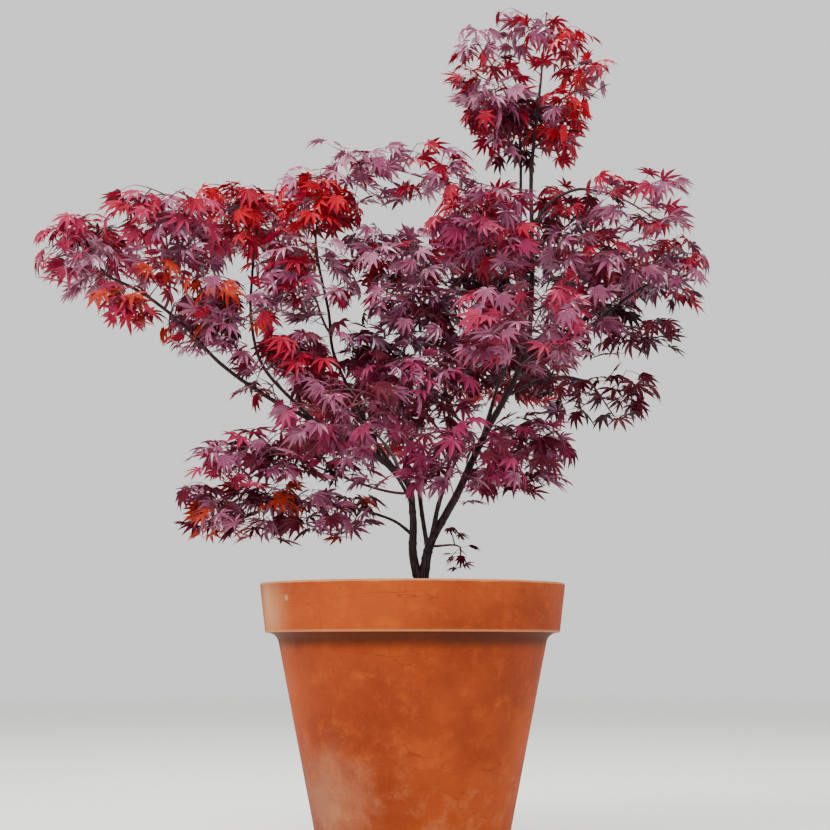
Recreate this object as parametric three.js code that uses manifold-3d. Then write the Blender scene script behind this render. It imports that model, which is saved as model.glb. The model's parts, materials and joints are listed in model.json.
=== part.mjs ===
import * as THREE from 'three';
import { mergeVertices } from 'three/addons/utils/BufferGeometryUtils.js';
import Module from 'manifold-3d';

// A japanese maple in a terracotta pot, in millimetres.
// The origin is the middle of the pot's flat underside, +Z is up and +Y leads away from the viewer.

// Fit
const gap = 0.3; // between neighbouring solids
const mergeLimit = 0.03; // corners closer than this are made one

// Pot
const potHeight = 390;
const rimRadius = 225;
const lipRound = 3;
const bandHeight = 72; // the thick band below the rim
const bandFootRadius = 216.5;
const coveRadius = 17; // the hollow curve under the band
const wallSlope = 0.198; // run in per rise of the outer wall
const rimThickness = 20;
const floorThickness = 18;
const floorInnerRadius = 124;
const drainRadius = 9;
const drainCircle = 70;
const drainCount = 3;
const potSides = 44;

// Soil
const soilFlatRadius = 42; // level patch that the trunk stands on
const soilTop = 365;
const soilEdgeTop = 353;
const soilSides = 32;

// Tree
const trunkFoot = soilTop + gap;
const trunkX = 15;
const rootFlare = 8; // added to the trunk's radius at the ground
const flareHeight = 10; // the flare fades by a factor e over this height
const groundCut = 12; // wood below the trunk's flat foot that the cut takes away
const limbStep = 52; // longest straight stretch of a limb that has no step of its own

// Limbs: radii at the foot and the tip, and the places that each one runs through.
// A limb with a parent starts on its middle line, at the given height or at its tip.
const limbs = {
  trunk: {
    radii: [9.6, 9.2],
    sides: 10,
    step: 14,
    through: [[trunkX, 0, trunkFoot - groundCut], [trunkX, 0, 380], [16, -1, 405], [trunkX, 0, 430]],
  },
  stem_right: {
    radii: [6.9, 2.1],
    sides: 8,
    through: [
      [trunkX, 0, 420], [36, -5, 460], [65, -5, 520], [86, 0, 566], [112, 5, 620], [155, 15, 700],
      [175, 15, 765], [180, 5, 840], [180, 0, 925], [180, 0, 1010], [188, 0, 1090], [195, 0, 1150],
    ],
  },
  stem_left: {
    radii: [6.2, 4],
    sides: 8,
    through: [[trunkX, 0, 420], [2, 4, 455], [0, 5, 495], [-8, 2, 540], [-50, -10, 575], [-115, -20, 604]],
  },
  stem_middle: {
    parent: 'stem_right',
    height: 450,
    radii: [3.8, 2.2],
    sides: 7,
    through: [[37, -22, 500], [50, -40, 545], [58, -56, 595], [50, -70, 655]],
  },
  stem_inner: {
    parent: 'stem_right',
    height: 438,
    radii: [3.6, 2.1],
    sides: 7,
    through: [[14, 20, 495], [6, 38, 560], [-6, 50, 640], [-14, 46, 715], [-10, 30, 778]],
  },
  leader_upper: {
    parent: 'stem_right',
    height: 742,
    radii: [3, 2],
    sides: 7,
    through: [[165, 35, 830], [165, 42, 930], [166, 36, 1030], [163, 26, 1100]],
  },
  bough_far_left: {
    parent: 'stem_left',
    radii: [3.4, 2.1],
    sides: 7,
    through: [
      [-155, -32, 632], [-215, -46, 663], [-282, -58, 710], [-335, -65, 765], [-395, -65, 812],
      [-450, -62, 840],
    ],
  },
  bough_left_upright: {
    parent: 'stem_left',
    radii: [3, 2],
    sides: 6,
    through: [[-172, 0, 656], [-228, 30, 722], [-247, 48, 800], [-245, 50, 880]],
  },
  bough_centre_left: {
    parent: 'stem_left',
    height: 560,
    radii: [2.8, 2],
    sides: 6,
    through: [
      [-62, 8, 612], [-92, 20, 674], [-120, 25, 740], [-127, 20, 800], [-140, 10, 860], [-146, 8, 895],
    ],
  },
  bough_inner_left: {
    parent: 'bough_centre_left',
    height: 620,
    radii: [2.4, 2],
    sides: 6,
    through: [[-105, -30, 655], [-132, -60, 687], [-155, -78, 715]],
  },
  bough_right_shoulder: {
    parent: 'stem_right',
    height: 925,
    radii: [2.5, 2],
    sides: 6,
    through: [[208, -14, 962], [245, -28, 978], [278, -35, 974]],
  },
  bough_right: {
    parent: 'stem_right',
    height: 722,
    radii: [3, 2],
    sides: 6,
    through: [[205, 18, 744], [250, 20, 765], [292, 18, 797], [335, 10, 828], [355, 6, 840]],
  },
  bough_right_low: {
    parent: 'stem_right',
    height: 672,
    radii: [2.6, 2],
    sides: 6,
    through: [[190, 20, 695], [230, 20, 701], [262, 16, 694]],
  },
  bough_lowest_left: {
    parent: 'stem_left',
    height: 462,
    radii: [2.4, 2],
    sides: 6,
    through: [[-26, 0, 482], [-60, -16, 494]],
  },
  bough_front_left: {
    parent: 'stem_left',
    height: 510,
    radii: [2.8, 2],
    sides: 6,
    through: [[-25, -70, 545], [-60, -150, 572]],
  },
  bough_front_right: {
    parent: 'stem_right',
    height: 615,
    radii: [2.8, 2],
    sides: 6,
    through: [[122, -65, 668], [138, -140, 702]],
  },
  bough_back_left: {
    parent: 'stem_left',
    height: 550,
    radii: [2.8, 2],
    sides: 6,
    through: [[-35, 75, 595], [-58, 155, 630]],
  },
  bough_back_right: {
    parent: 'stem_right',
    height: 600,
    radii: [2.8, 2],
    sides: 6,
    through: [[118, 85, 655], [135, 165, 708]],
  },
};

// Foliage masses: the limb that carries each one, at the given height or at its tip,
// the middle and half sizes of the space that it fills, its leaves' share of full size, if smaller,
// and how many leaves fewer than its space has room for it carries.
const masses = {
  crown_tip: { limb: 'stem_right', middle: [200, 0, 1205], half: [90, 84, 65] },
  crown_left: { limb: 'leader_upper', middle: [117, 5, 1180], half: [70, 66, 58] },
  crown_right: { limb: 'stem_right', height: 1112, middle: [277, 10, 1158], half: [65, 60, 54] },
  head_left: { limb: 'leader_upper', height: 1040, middle: [130, -28, 1080], half: [89, 79, 63] },
  head_right: { limb: 'stem_right', height: 1050, middle: [216, -28, 1072], half: [74, 79, 60] },
  head_back: { limb: 'leader_upper', height: 1062, middle: [178, 92, 1085], half: [89, 74, 65] },
  high_left: { limb: 'leader_upper', height: 972, middle: [-12, -5, 1002], half: [166, 74, 48] },
  shoulder_outer: { limb: 'bough_right_shoulder', middle: [335, -42, 939], half: [89, 77, 54] },
  shoulder_inner: { limb: 'stem_right', height: 900, middle: [260, 58, 955], half: [77, 74, 54] },
  right_outer: { limb: 'bough_right', middle: [359, 0, 852], half: [89, 86, 69] },
  right_middle: { limb: 'stem_right', height: 800, middle: [252, -80, 845], half: [82, 82, 67] },
  right_back: { limb: 'bough_right', height: 800, middle: [290, 128, 858], half: [86, 82, 62] },
  right_lower: { limb: 'bough_right', height: 786, middle: [330, 15, 770], half: [91, 67, 45] },
  right_low: { limb: 'bough_right_low', middle: [280, 10, 668], half: [98, 74, 48] },
  centre_upper: {
    limb: 'leader_upper', height: 880, middle: [118, -40, 900], half: [74, 74, 84], fewer: 1,
  },
  centre_front: { limb: 'stem_right', height: 835, middle: [105, -168, 880], half: [84, 84, 62] },
  centre_back: { limb: 'leader_upper', height: 855, middle: [130, 188, 905], half: [94, 89, 65] },
  centre_right: { limb: 'stem_right', height: 735, middle: [140, -72, 765], half: [82, 74, 65] },
  centre_top: { limb: 'stem_inner', middle: [-22, 0, 862], half: [96, 82, 60] },
  centre_heart: { limb: 'stem_middle', middle: [22, -52, 768], half: [94, 74, 63] },
  centre_low: { limb: 'stem_middle', height: 600, middle: [5, -112, 655], half: [101, 79, 60] },
  low_right: { limb: 'stem_right', height: 545, middle: [151, -32, 575], half: [91, 82, 63] },
  low_front: { limb: 'stem_middle', height: 540, middle: [66, -142, 556], half: [96, 79, 54] },
  low_left: { limb: 'stem_left', height: 525, middle: [-172, -90, 562], half: [154, 80, 44] },
  lowest_left: { limb: 'bough_lowest_left', middle: [-192, -45, 493], half: [154, 80, 45] },
  far_left_tip: { limb: 'bough_far_left', middle: [-473, -55, 876], half: [79, 82, 70] },
  far_left_middle: { limb: 'bough_far_left', height: 790, middle: [-365, -85, 897], half: [94, 91, 74] },
  far_left_droop: { limb: 'bough_far_left', height: 800, middle: [-398, -112, 801], half: [70, 60, 52] },
  left_canopy: { limb: 'bough_left_upright', middle: [-236, 35, 941], half: [98, 91, 69] },
  left_canopy_inner: { limb: 'bough_centre_left', middle: [-140, -25, 951], half: [62, 72, 58] },
  left_middle: { limb: 'bough_far_left', height: 690, middle: [-278, -88, 771], half: [86, 74, 58] },
  left_lower: { limb: 'bough_inner_left', middle: [-176, -78, 696], half: [96, 74, 56] },
  left_centre: { limb: 'bough_centre_left', height: 770, middle: [-152, -48, 835], half: [74, 72, 65] },
  left_inner: { limb: 'stem_inner', height: 650, middle: [-62, -22, 712], half: [74, 74, 60] },
  front_left: { limb: 'bough_front_left', middle: [-95, -225, 608], half: [101, 91, 54] },
  front_right: { limb: 'bough_front_right', middle: [152, -225, 730], half: [98, 96, 58] },
  back_left: { limb: 'bough_back_left', middle: [-88, 236, 656], half: [108, 98, 58] },
  back_right: { limb: 'bough_back_right', middle: [150, 250, 742], half: [106, 101, 62] },
  foot_sprig: { limb: 'stem_right', height: 446, middle: [62, -16, 438], half: [46, 44, 38], share: 0.55 },
};

// Foliage
const spaceFlattening = 1.6; // how much flatter than wide a space is taken for, where two of them part
const spacePower = 8; // 2 would make a space an ellipsoid, and more makes it boxier
const stalkRadii = [2.4, 1.7];
const stalkSides = 3;
const twigRootRadius = 0.6; // sunk in what carries the twig
const twigRadius = 1.3;
const twigSink = 4; // the stretch of a twig beside its foot that may lie close to what carries it
const twigLengths = [8, 75];
const sharpestTurn = 1.3; // in radians, from a twig to its leaf
const forkedTwig = 25; // a twig longer than this can carry another
const bentTwig = 45; // and one longer than this has a bend
const nodeSpacing = 12; // between places on the stalk where a twig may start
const bareNodes = 2; // the first ones, beside the limb, carry none
const leafLength = 54; // middle lobe, from the leaf's middle to its tip
const leafThickness = 2.2;
const shoulderBack = 0.24; // from the leaf's middle back to where its stalk joins, as a share of its length
const shoulderWidth = 0.06;
const attempts = 800; // places tried for each leaf
const fewestLeaves = 4; // aimed at in a small space, and one more for each share of its box
const boxPerLeaf = 128000; // in mm³, of a box with the space's half sizes
const firstSeed = 4111;

// One side of a leaf's outline: degrees from the middle lobe, then length and droop as shares of leafLength
const lobes = [[0, 1, 0.3], [25, 0.4, 0.06], [51, 0.9, 0.32], [79, 0.36, 0.06], [110, 0.64, 0.24]];

const up = new THREE.Vector3(0, 0, 1);

const wasm = await Module();
wasm.setup();

// Chance that gives the same run for the same seed
function chance(seed) {
  let state = seed;
  return () => {
    state = (state * 16807) % 2147483647;
    return state / 2147483647;
  };
}

function solidOf(geometry) {
  const plain = geometry.clone();
  plain.deleteAttribute('normal');
  plain.deleteAttribute('uv');
  const merged = mergeVertices(plain, 1e-4);
  return new wasm.Manifold(new wasm.Mesh({
    numProp: 3,
    vertProperties: Float32Array.from(merged.attributes.position.array),
    triVerts: Uint32Array.from(merged.index.array),
  }));
}

function geometryOf(solid) {
  const mesh = solid.getMesh();
  const geometry = new THREE.BufferGeometry();
  geometry.setAttribute('position', new THREE.BufferAttribute(Float32Array.from(mesh.vertProperties), 3));
  geometry.setIndex(new THREE.BufferAttribute(Uint32Array.from(mesh.triVerts), 1));
  geometry.computeVertexNormals();
  return geometry;
}

// The one outer body of a join: loose scraps and sealed hollows are dropped
function mainBody(solid) {
  const bodies = solid.decompose();
  return bodies.reduce((best, body) => (body.volume() > best.volume() ? body : best));
}

// Tapering tube with flat ends along a row of points
function tube(points, radii, sides) {
  const positions = [];
  const last = points.length - 1;
  let across = null;
  points.forEach((point, i) => {
    const along = points[Math.min(i + 1, last)].clone().sub(points[Math.max(i - 1, 0)]).normalize();
    if (across === null) {
      across = Math.abs(along.z) < 0.9 ? up.clone() : new THREE.Vector3(0, 1, 0);
    }
    across = across.clone().addScaledVector(along, -across.dot(along)).normalize();
    const other = along.clone().cross(across);
    for (let k = 0; k < sides; k += 1) {
      const angle = (2 * Math.PI * k) / sides;
      const corner = point.clone();
      corner.addScaledVector(across, radii[i] * Math.cos(angle));
      corner.addScaledVector(other, radii[i] * Math.sin(angle));
      positions.push(...corner.toArray());
    }
  });
  const index = [];
  for (let i = 0; i < last; i += 1) {
    for (let k = 0; k < sides; k += 1) {
      const a = i * sides + k;
      const b = i * sides + ((k + 1) % sides);
      index.push(a, b, b + sides, a, b + sides, a + sides);
    }
  }
  for (let k = 1; k < sides - 1; k += 1) {
    index.push(0, k + 1, k);
    index.push(last * sides, last * sides + k, last * sides + k + 1);
  }
  const geometry = new THREE.BufferGeometry();
  geometry.setAttribute('position', new THREE.Float32BufferAttribute(positions, 3));
  geometry.setIndex(index);
  return geometry;
}

// Share of the way along a limb at which it passes a height
function shareAt(curve, height) {
  let low = 0;
  let high = 1;
  for (let i = 0; i < 40; i += 1) {
    const middle = (low + high) / 2;
    if (curve.getPoint(middle).z < height) low = middle;
    else high = middle;
  }
  return low;
}

function placeOn(limb, height) {
  const share = height === undefined ? 1 : shareAt(limb.curve, height);
  return {
    point: limb.curve.getPoint(share),
    along: limb.curve.getTangent(share),
    radius: THREE.MathUtils.lerp(limb.radii[0], limb.radii[1], share),
    isTip: height === undefined,
  };
}

// Middle line and rings of each limb, parents first
function layOutLimb(limb) {
  const through = limb.through.map((place) => new THREE.Vector3(...place));
  if (limb.parent) through.unshift(placeOn(limbs[limb.parent], limb.height).point);
  limb.curve = new THREE.CatmullRomCurve3(through, false, 'catmullrom', 0.5);
  const rings = Math.ceil(limb.curve.getLength() / (limb.step ?? limbStep)) + 1;
  limb.points = [];
  limb.ringRadii = [];
  for (let i = 0; i <= rings; i += 1) {
    const share = i / rings;
    const point = limb.curve.getPoint(share);
    let radius = THREE.MathUtils.lerp(limb.radii[0], limb.radii[1], share);
    if (limb === limbs.trunk) {
      radius += rootFlare * Math.exp(Math.min(trunkFoot - point.z, 0) / flareHeight);
    }
    limb.points.push(point);
    limb.ringRadii.push(radius);
  }
}

// The same limb or stalk, thicker and longer by the gap, for keeping its neighbours clear of it
function clearanceOf({ points, ringRadii, sides }) {
  const last = points.length - 1;
  const headway = points[last].clone().sub(points[last - 1]).setLength(gap);
  const through = [...points.slice(0, last), points[last].clone().add(headway)];
  const grown = ringRadii.map((radius) => radius + gap / Math.cos(Math.PI / sides));
  return solidOf(tube(through, grown, sides));
}

function limbSolid(name, earlier) {
  const limb = limbs[name];
  let solid = solidOf(tube(limb.points, limb.ringRadii, limb.sides));
  if (name === 'trunk') {
    const ground = new THREE.BoxGeometry(20 * groundCut, 20 * groundCut, 4 * groundCut);
    ground.translate(trunkX, 0, trunkFoot - 2 * groundCut);
    solid = solid.subtract(solidOf(ground));
  }
  earlier.forEach((other) => {
    solid = solid.subtract(clearanceOf(limbs[other]));
  });
  return mainBody(solid);
}

// Pot
function potProfile() {
  const bandFoot = potHeight - bandHeight;
  const outline = [];
  const steps = 3;
  const wallLean = Math.atan(wallSlope);
  for (let i = 0; i <= steps; i += 1) {
    const angle = Math.PI / 2 + ((Math.PI / 2 - wallLean) * i) / steps;
    outline.push([
      bandFootRadius - lipRound + coveRadius * Math.cos(angle),
      bandFoot - coveRadius + coveRadius * Math.sin(angle),
    ]);
  }
  const [wallRadius, wallTop] = outline[steps];
  const footRadius = wallRadius - wallSlope * wallTop;
  const innerRadius = rimRadius - rimThickness;
  return [
    [0, 0],
    [footRadius - lipRound, 0],
    [footRadius, lipRound],
    ...outline.reverse(),
    [bandFootRadius, bandFoot + lipRound],
    [rimRadius, potHeight - lipRound],
    [rimRadius - lipRound, potHeight],
    [innerRadius + lipRound, potHeight],
    [innerRadius, potHeight - lipRound],
    [floorInnerRadius, floorThickness],
    [0, floorThickness],
  ];
}

function lathe(profile, sides) {
  const points = profile.map(([radius, height]) => new THREE.Vector2(radius, height));
  return new THREE.LatheGeometry(points, sides).rotateX(Math.PI / 2);
}

function potSolid() {
  let solid = solidOf(lathe(potProfile(), potSides));
  for (let i = 0; i < drainCount; i += 1) {
    const angle = (2 * Math.PI * (i + 0.5)) / drainCount;
    const drain = new THREE.CylinderGeometry(drainRadius, drainRadius, 4 * floorThickness, 12);
    drain.rotateX(Math.PI / 2);
    drain.translate(drainCircle * Math.cos(angle), drainCircle * Math.sin(angle), 0);
    solid = solid.subtract(solidOf(drain));
  }
  return solid;
}

// Soil, clear of the pot's inner wall by the gap
function soilSolid() {
  const innerRadius = rimRadius - rimThickness;
  const rise = potHeight - lipRound - floorThickness;
  const facetSlack = floorInnerRadius * (1 - Math.cos(Math.PI / potSides));
  const slack = facetSlack + 2 * gap;
  const radiusAt = (height) => (
    floorInnerRadius + ((innerRadius - floorInnerRadius) * (height - floorThickness)) / rise - slack
  );
  const bottom = floorThickness + gap;
  const profile = [
    [0, bottom],
    [radiusAt(bottom), bottom],
    [radiusAt(soilEdgeTop) - gap, soilEdgeTop],
    [(radiusAt(soilEdgeTop) + soilFlatRadius) / 2, (soilTop + soilEdgeTop) / 2 + 2],
    [soilFlatRadius, soilTop],
    [0, soilTop],
  ];
  return solidOf(lathe(profile, soilSides));
}

// Distance from the middle of a space to its skin along a direction
function reachAlong(half, direction) {
  return 1 / Math.hypot(direction.x / half[0], direction.y / half[1], direction.z / half[2]);
}

// Walls between a mass's space and the others
function layOutSpace(mass) {
  mass.centre = new THREE.Vector3(...mass.middle);
  mass.walls = [];
  Object.values(masses).forEach((other) => {
    if (other === mass) return;
    const across = new THREE.Vector3(...other.middle).sub(mass.centre);
    const direction = across.clone().normalize();
    const own = reachAlong(mass.half, direction);
    const theirs = reachAlong(other.half, direction);
    const normal = across.clone();
    normal.z *= spaceFlattening ** 2;
    normal.normalize();
    const wall = mass.centre.clone().addScaledVector(across, own / (own + theirs));
    mass.walls.push({ normal, limit: normal.dot(wall) - gap / 2 });
  });
}

function isInSpace(mass, point, margin) {
  const shares = mass.half.map((half, i) => (
    Math.abs(point.getComponent(i) - mass.centre.getComponent(i)) / (half - margin)
  ));
  const fromMiddle = shares.reduce((sum, share) => sum + share ** spacePower, 0);
  return fromMiddle < 1 && mass.walls.every(({ normal, limit }) => normal.dot(point) < limit - margin);
}

// True if two solids share any space
function meets(a, b) {
  const boxA = a.boundingBox();
  const boxB = b.boundingBox();
  const isApart = [0, 1, 2].some((i) => boxA.min[i] > boxB.max[i] || boxB.min[i] > boxA.max[i]);
  return !isApart && !a.intersect(b).isEmpty();
}

// The stalk of a mass leaves its limb squarely, or onward from its tip, and arches through the space
function layOutStalk(mass) {
  const place = placeOn(limbs[mass.limb], mass.height);
  const toCentre = mass.centre.clone().sub(place.point);
  const outward = place.along.clone();
  if (!place.isTip) {
    outward.copy(toCentre).addScaledVector(place.along, -toCentre.dot(place.along)).normalize();
  }
  const start = place.point.clone();
  const through = mass.centre.clone().sub(start);
  const length = through.length();
  const onward = through.clone().normalize();
  const level = 1 - Math.abs(onward.z);
  const beyond = Math.max(reachAlong(mass.half, onward) - leafLength * level - 4, 10);
  const end = mass.centre.clone().addScaledVector(onward, beyond);
  end.z += 0.2 * level * mass.half[2];
  const crest = mass.centre.clone();
  crest.z += 0.45 * level * mass.half[2];
  mass.curve = new THREE.CubicBezierCurve3(
    start,
    start.clone().addScaledVector(outward, 0.3 * length),
    crest,
    end,
  );
  mass.stalkLength = mass.curve.getLength();
  const rings = Math.max(3, Math.round(mass.stalkLength / 45));
  const footRadius = Math.min(stalkRadii[0], place.radius);
  mass.sides = stalkSides;
  mass.points = [];
  mass.ringRadii = [];
  for (let i = 0; i <= rings; i += 1) {
    mass.points.push(mass.curve.getPoint(i / rings));
    mass.ringRadii.push(THREE.MathUtils.lerp(footRadius, stalkRadii[1], i / rings));
  }
}

// Corners of one leaf that hangs from its foot: top and bottom middles, and its outline
function leafCorners(foot, heading, droop, roll, size) {
  const length = leafLength * size;
  const forward = heading.clone().multiplyScalar(Math.cos(droop)).addScaledVector(up, -Math.sin(droop));
  const level = heading.clone().multiplyScalar(Math.sin(droop)).addScaledVector(up, Math.cos(droop));
  const side = level.clone().cross(forward);
  side.applyAxisAngle(forward, roll);
  level.applyAxisAngle(forward, roll);
  const middle = foot.clone().addScaledVector(forward, shoulderBack * length);
  const corner = (x, y, z) => (
    middle.clone().addScaledVector(forward, x).addScaledVector(side, y).addScaledVector(level, z)
  );
  const lobeCorner = ([degrees, share, sag], hand) => {
    const angle = THREE.MathUtils.degToRad(degrees);
    const radius = length * share;
    return corner(radius * Math.cos(angle), hand * radius * Math.sin(angle), -length * sag);
  };
  const left = lobes.map((lobe) => lobeCorner(lobe, 1));
  const right = lobes.slice(1).map((lobe) => lobeCorner(lobe, -1)).reverse();
  const shoulders = [1, -1].map((hand) => corner(-shoulderBack * length, hand * shoulderWidth * length, 0));
  const bottom = corner(0, 0, -leafThickness / 2);
  return {
    top: corner(0, 0, leafThickness / 2),
    bottom,
    joint: bottom.clone().add(shoulders[0]).add(shoulders[1]).divideScalar(3),
    rim: [...left, ...shoulders, ...right],
    middle,
    forward,
    side,
  };
}

// Three-sided twig through a row of points, whose last ring opens into a leaf
function leafyTwig(points, leaf) {
  const corners = points.flatMap((point, i) => {
    const radius = i === 0 ? twigRootRadius : twigRadius;
    const along = (points[i + 1] ?? leaf.joint).clone().sub(points[Math.max(i - 1, 0)]).normalize();
    const side = leaf.side.clone().addScaledVector(along, -leaf.side.dot(along)).setLength(radius);
    const level = along.clone().cross(side);
    return [
      point.clone().add(side).addScaledVector(level, 0.5),
      point.clone().sub(side).addScaledVector(level, 0.5),
      point.clone().sub(level),
    ];
  });
  const first = corners.length;
  const top = first;
  const bottom = first + 1;
  corners.push(leaf.top, leaf.bottom, ...leaf.rim);
  const count = leaf.rim.length;
  const rimAt = (i) => first + 2 + (i % count);
  const leftShoulder = rimAt(lobes.length);
  const rightShoulder = rimAt(lobes.length + 1);
  const index = [0, 2, 1];
  const rings = points.map((_, i) => [3 * i, 3 * i + 1, 3 * i + 2]);
  rings.push([leftShoulder, rightShoulder, bottom]);
  for (let i = 1; i < rings.length; i += 1) {
    for (let k = 0; k < 3; k += 1) {
      const next = (k + 1) % 3;
      index.push(rings[i - 1][k], rings[i][next], rings[i][k]);
      index.push(rings[i - 1][k], rings[i - 1][next], rings[i][next]);
    }
  }
  for (let i = 0; i < count; i += 1) {
    index.push(top, rimAt(i), rimAt(i + 1));
    if (rimAt(i) !== leftShoulder) index.push(bottom, rimAt(i + 1), rimAt(i));
  }
  const geometry = new THREE.BufferGeometry();
  geometry.setAttribute('position', new THREE.Float32BufferAttribute(corners.flatMap((c) => c.toArray()), 3));
  geometry.setIndex(index);
  return geometry;
}

// One foliage mass: its stalk, and leafy twigs that fill the emptiest places of its space one after another
function growMass(name, seed) {
  const mass = masses[name];
  const roll = chance(seed);
  const between = (low, high) => low + (high - low) * roll();
  const others = clearances.filter((row) => row.owner !== mass).map((row) => row.solid);
  const pieces = [solidOf(tube(mass.points, mass.ringRadii, stalkSides))];
  const share = (mass.half[0] * mass.half[1] * mass.half[2]) / boxPerLeaf;
  const leaves = fewestLeaves + Math.round(share) - (mass.fewer ?? 0);
  const nodes = []; // places where a twig may start
  mass.points.slice(1).forEach((point, i) => {
    const steps = Math.round(point.distanceTo(mass.points[i]) / nodeSpacing);
    for (let k = 1; k <= steps; k += 1) nodes.push(mass.points[i].clone().lerp(point, k / (steps + 0.2)));
  });
  nodes.splice(0, bareNodes);

  // A twig to a place picked by chance, from the nearest node, with a leaf that heads away from it
  function pickTwig() {
    const foot = mass.centre.clone().add(new THREE.Vector3(...mass.half.map((half) => between(-half, half))));
    const node = nodes.reduce((best, one) => (one.distanceTo(foot) < best.distanceTo(foot) ? one : best));
    const away = foot.clone().sub(node);
    const heading = away.clone().setZ(0).normalize().applyAxisAngle(up, between(-0.7, 0.7));
    const size = between(0.85, 1.08) * (mass.share ?? 1);
    const leaf = leafCorners(foot, heading, between(0.35, 0.95), between(-0.35, 0.35), size);
    const isUsable = away.length() > twigLengths[0]
      && away.length() < twigLengths[1]
      && away.angleTo(leaf.forward) < sharpestTurn
      && leaf.rim.every((corner) => isInSpace(mass, corner, gap));
    const room = Math.min(...leafMiddles.map((middle) => middle.distanceTo(leaf.middle)));
    return { node, away, leaf, isUsable, room };
  }

  // The places that a twig runs through, with a bend if it is long
  function twigRow({ node, away }) {
    if (away.length() < bentTwig) return [node];
    const bend = node.clone().addScaledVector(away, 0.7);
    bend.z += 0.04 * away.length();
    return [node, bend];
  }

  // True if a twig and its leaf touch nothing beyond the twig's sunk foot
  function isClear({ node, away, leaf }, row) {
    const clearFoot = node.clone().addScaledVector(away, twigSink / away.length());
    const free = solidOf(leafyTwig([clearFoot, ...row.slice(1)], leaf));
    return ![...pieces, ...others].some((solid) => meets(solid, free));
  }

  for (let k = 0; k < leaves; k += 1) {
    const picks = Array.from({ length: attempts }, pickTwig).filter((pick) => pick.isUsable);
    picks.sort((a, b) => b.room - a.room);
    const best = picks.find((pick) => isClear(pick, twigRow(pick)));
    if (best) {
      const row = twigRow(best);
      pieces.push(solidOf(leafyTwig(row, best.leaf)));
      leafMiddles.push(best.leaf.middle);
      const end = row[1] ?? best.leaf.joint;
      if (best.away.length() > forkedTwig) nodes.push(best.node.clone().lerp(end, 0.55));
    }
  }
  const grown = wasm.Manifold.union(pieces).subtract(clearanceOf(limbs[mass.limb]));
  return mainBody(grown.simplify(mergeLimit));
}

// Materials
function material(color, roughness) {
  return new THREE.MeshStandardMaterial({ color, roughness, metalness: 0 });
}

const terracotta = material(0xc25a32, 0.8);
const pottingSoil = material(0x3a2a20, 0.95);
const bark = material(0x3b2a2c, 0.75);
const leafTints = [material(0x9c1f34, 0.6), material(0x7d2b45, 0.6), material(0x5a1a30, 0.65)];

const plant = new THREE.Group();

function addNode(name, solid, finish) {
  const mesh = new THREE.Mesh(geometryOf(solid), finish);
  mesh.name = name;
  plant.add(mesh);
}

Object.values(limbs).forEach(layOutLimb);
Object.values(masses).forEach(layOutSpace);
Object.values(masses).forEach(layOutStalk);
const leafMiddles = [limbs.trunk.points[0]]; // the list grows leaf by leaf
const clearances = [...Object.values(limbs), ...Object.values(masses)].map((owner) => (
  { owner, solid: clearanceOf(owner) }
));

addNode('pot', potSolid(), terracotta);
addNode('soil', soilSolid(), pottingSoil);

const limbNames = Object.keys(limbs);
limbNames.forEach((name, i) => addNode(name, limbSolid(name, limbNames.slice(0, i)), bark));

Object.keys(masses).forEach((name, i) => {
  addNode(`foliage_${name}`, growMass(name, firstSeed + 37 * i), leafTints[i % leafTints.length]);
});

export default plant;
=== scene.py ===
import json
import math

import bmesh
import bpy
import numpy as np
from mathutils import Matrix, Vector

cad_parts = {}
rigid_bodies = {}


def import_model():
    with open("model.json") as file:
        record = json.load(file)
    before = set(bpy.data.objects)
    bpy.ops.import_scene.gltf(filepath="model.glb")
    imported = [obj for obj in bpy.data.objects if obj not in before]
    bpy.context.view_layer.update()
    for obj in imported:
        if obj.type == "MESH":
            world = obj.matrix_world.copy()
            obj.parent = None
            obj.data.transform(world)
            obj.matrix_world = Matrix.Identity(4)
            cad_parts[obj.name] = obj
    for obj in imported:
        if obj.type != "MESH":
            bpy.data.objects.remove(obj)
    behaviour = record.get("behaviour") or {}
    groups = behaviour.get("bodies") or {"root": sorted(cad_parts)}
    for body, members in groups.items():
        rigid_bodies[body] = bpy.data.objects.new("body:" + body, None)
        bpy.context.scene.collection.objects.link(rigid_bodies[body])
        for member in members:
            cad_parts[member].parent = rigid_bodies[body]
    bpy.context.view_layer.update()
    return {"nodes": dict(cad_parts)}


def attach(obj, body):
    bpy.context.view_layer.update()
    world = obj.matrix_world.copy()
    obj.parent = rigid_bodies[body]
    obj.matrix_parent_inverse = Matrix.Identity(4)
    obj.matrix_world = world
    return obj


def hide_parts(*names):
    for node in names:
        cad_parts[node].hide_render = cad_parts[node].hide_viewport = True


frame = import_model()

mm = 0.001
print("frame loaded with", len(frame["nodes"]), "nodes")

# camera: a little above the floor, looking up into the crown
cameraView = {"place": (0.0036, -2.85, 0.296), "aim": (0.0036, 0, 0.641), "lens": 83.4, "sensor": 36}


def setCamera(view):
    data = bpy.data.cameras.new("camera")
    data.lens = view["lens"]
    data.sensor_width = view["sensor"]
    data.dof.use_dof = False
    camera = bpy.data.objects.new("camera", data)
    camera.location = view["place"]
    toAim = Vector(view["aim"]) - Vector(view["place"])
    camera.rotation_euler = toAim.to_track_quat("-Z", "Y").to_euler()
    bpy.context.scene.collection.objects.link(camera)
    bpy.context.scene.camera = camera


setCamera(cameraView)
print("camera set")


def isVector(part):
    if isinstance(part, Wire):
        return part.socket.type in {"VECTOR", "RGBA"}
    return isinstance(part, tuple)


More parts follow.
